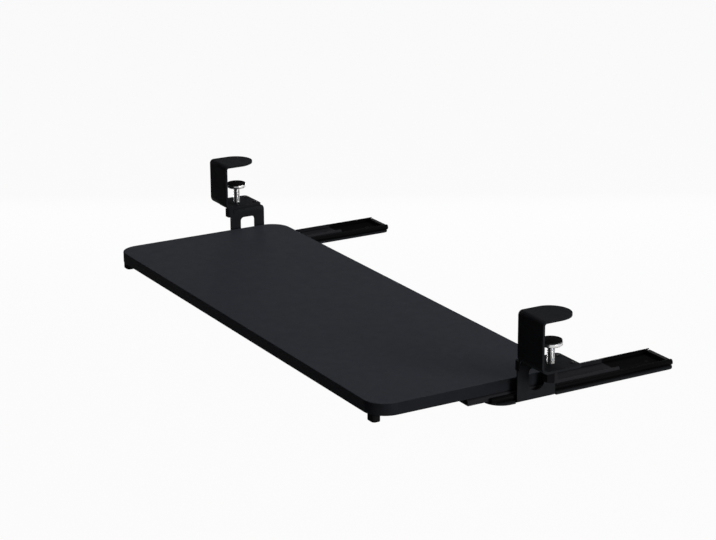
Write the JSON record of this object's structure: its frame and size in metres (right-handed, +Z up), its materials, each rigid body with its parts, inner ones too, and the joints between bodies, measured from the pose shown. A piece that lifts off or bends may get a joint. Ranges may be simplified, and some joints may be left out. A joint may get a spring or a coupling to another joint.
{
  "type": "keyboard tray",
  "caption": "Flat pull-out tray on ball slides, hung below a desk edge from hooked screw clamps; carries a keyboard and mouse.",
  "frame": {"origin": "on the top front edge of the desk that carries the tray, midway between the clamps", "axes": "+X to the user's right along the desk edge, +Y away from the user under the desk, +Z up"},
  "size_m": [0.738, 0.3625, 0.102],
  "materials": {
    "laminate": "black satin laminate on board",
    "edge_band": "black satin edge band",
    "powder_coat": "fine black powder coat",
    "rail_steel": "black coated rolled steel",
    "middle_steel": "grey-black coated rolled steel",
    "black_rivet": "black oxide steel",
    "zinc": "bright zinc plate",
    "cage_steel": "rolled zinc-plated strip",
    "ball_steel": "polished bearing steel",
    "stop_plastic": "moulded black nylon",
    "rubber": "matte black rubber"
  },
  "bodies": {
    "clamps": {"left_hook": "powder_coat", "left_hook_pad": "rubber", "left_hook_rivets": "black_rivet", "left_bracket": "powder_coat", "left_clamp_nut": "black_rivet", "left_outer_rail": "rail_steel", "left_outer_rail_screws": "black_rivet", "left_rear_stop": "stop_plastic", "right_hook": "powder_coat", "right_hook_pad": "rubber", "right_hook_rivets": "black_rivet", "right_bracket": "powder_coat", "right_clamp_nut": "black_rivet", "right_outer_rail": "rail_steel", "right_outer_rail_screws": "black_rivet", "right_rear_stop": "stop_plastic"},
    "tray": {"tray_board": "laminate", "edge_band": "edge_band", "left_inner_rail": "rail_steel", "left_inner_rail_screws": "zinc", "left_front_bumper": "rubber", "left_bumper_screw": "zinc", "right_inner_rail": "rail_steel", "right_inner_rail_screws": "zinc", "right_front_bumper": "rubber", "right_bumper_screw": "zinc"},
    "left_middle": {"left_middle_rail": "middle_steel"},
    "left_outer_cage": {"left_outer_cage": "cage_steel", "left_outer_balls": "ball_steel"},
    "left_inner_cage": {"left_inner_cage": "cage_steel", "left_inner_balls": "ball_steel"},
    "left_pad": {"left_clamp_pad": "zinc", "left_pad_rubber": "rubber"},
    "left_screw": {"left_clamp_screw": "zinc"},
    "right_middle": {"right_middle_rail": "middle_steel"},
    "right_outer_cage": {"right_outer_cage": "cage_steel", "right_outer_balls": "ball_steel"},
    "right_inner_cage": {"right_inner_cage": "cage_steel", "right_inner_balls": "ball_steel"},
    "right_pad": {"right_clamp_pad": "zinc", "right_pad_rubber": "rubber"},
    "right_screw": {"right_clamp_screw": "zinc"}
  },
  "joints": [
    {"name": "tray_slide", "type": "slide", "parent": "clamps", "child": "tray", "axis": [0, -1, 0], "range_m": [-0.119, 0.06]},
    {"name": "left_middle_slide", "type": "slide", "parent": "clamps", "child": "left_middle", "axis": [0, -1, 0], "range_m": [-0.0595, 0.03]},
    {"name": "left_outer_cage_slide", "type": "slide", "parent": "clamps", "child": "left_outer_cage", "axis": [0, -1, 0], "range_m": [-0.02975, 0.015]},
    {"name": "left_inner_cage_slide", "type": "slide", "parent": "clamps", "child": "left_inner_cage", "axis": [0, -1, 0], "range_m": [-0.08925, 0.045]},
    {"name": "left_pad_lift", "type": "slide", "parent": "clamps", "child": "left_pad", "axis": [0, 0, 1], "range_m": [-0.014, 0.007]},
    {"name": "left_screw_turn", "type": "hinge", "parent": "left_pad", "child": "left_screw", "pos_m": [-0.347, 0.023, -0.046], "axis": [0, 0, 1], "range_deg": [-4033, 2017]},
    {"name": "right_middle_slide", "type": "slide", "parent": "clamps", "child": "right_middle", "axis": [0, -1, 0], "range_m": [-0.0595, 0.03]},
    {"name": "right_outer_cage_slide", "type": "slide", "parent": "clamps", "child": "right_outer_cage", "axis": [0, -1, 0], "range_m": [-0.02975, 0.015]},
    {"name": "right_inner_cage_slide", "type": "slide", "parent": "clamps", "child": "right_inner_cage", "axis": [0, -1, 0], "range_m": [-0.08925, 0.045]},
    {"name": "right_pad_lift", "type": "slide", "parent": "clamps", "child": "right_pad", "axis": [0, 0, 1], "range_m": [-0.014, 0.007]},
    {"name": "right_screw_turn", "type": "hinge", "parent": "right_pad", "child": "right_screw", "pos_m": [0.347, 0.023, -0.046], "axis": [0, 0, 1], "range_deg": [-4033, 2017]}
  ],
  "couplings": [
    {"joint": "left_middle_slide", "follows": "tray_slide", "ratio": 0.5},
    {"joint": "left_outer_cage_slide", "follows": "tray_slide", "ratio": 0.25},
    {"joint": "left_inner_cage_slide", "follows": "tray_slide", "ratio": 0.75},
    {"joint": "left_screw_turn", "follows": "left_pad_lift", "rad_per_m": 5026.5},
    {"joint": "right_middle_slide", "follows": "tray_slide", "ratio": 0.5},
    {"joint": "right_outer_cage_slide", "follows": "tray_slide", "ratio": 0.25},
    {"joint": "right_inner_cage_slide", "follows": "tray_slide", "ratio": 0.75},
    {"joint": "right_screw_turn", "follows": "right_pad_lift", "rad_per_m": 5026.5}
  ]
}
